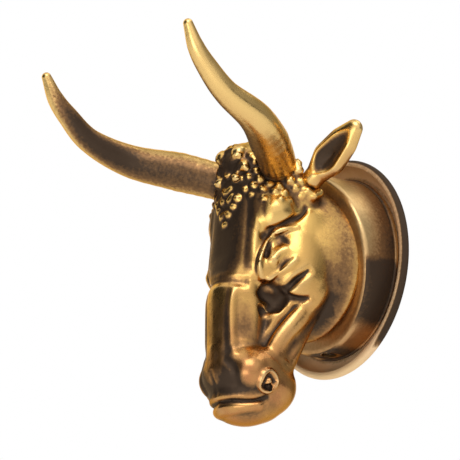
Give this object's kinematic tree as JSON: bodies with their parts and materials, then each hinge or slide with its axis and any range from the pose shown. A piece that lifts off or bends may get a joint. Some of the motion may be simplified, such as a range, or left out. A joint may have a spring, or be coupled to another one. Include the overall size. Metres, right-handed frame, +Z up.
{
  "type": "wall guitar hanger",
  "caption": "Cast bull's-head hanger on a round flange and drum, bolted to a wall disc; its upswept horns form the yoke that a guitar's neck drops into.",
  "frame": {"origin": "centre of the mounting disc's back face, on the wall", "axes": "+Z up; -Y out of the wall into the room, +Y into the wall; +X to the right of someone who faces the wall"},
  "size_m": [0.0574, 0.0831, 0.0843],
  "materials": {
    "antique_gold": "polished antique gold plating, dark in the recesses",
    "bright_steel": "zinc-plated, satin",
    "black_steel": "black oxide",
    "dark_felt": "pressed felt"
  },
  "bodies": {
    "root": {"flange": "antique_gold", "drum": "antique_gold", "bull_head": "antique_gold", "left_horn": "antique_gold", "right_horn": "antique_gold", "left_ear": "antique_gold", "right_ear": "antique_gold", "mounting_disc": "bright_steel", "wall_screw_upper": "bright_steel", "wall_screw_lower": "bright_steel", "head_washer": "bright_steel", "lock_washer": "bright_steel", "left_locating_pin": "bright_steel", "right_locating_pin": "bright_steel", "left_horn_stud": "bright_steel", "right_horn_stud": "bright_steel", "set_screw": "black_steel", "head_bolt": "black_steel", "felt_ring": "dark_felt"}
  },
  "joints": []
}
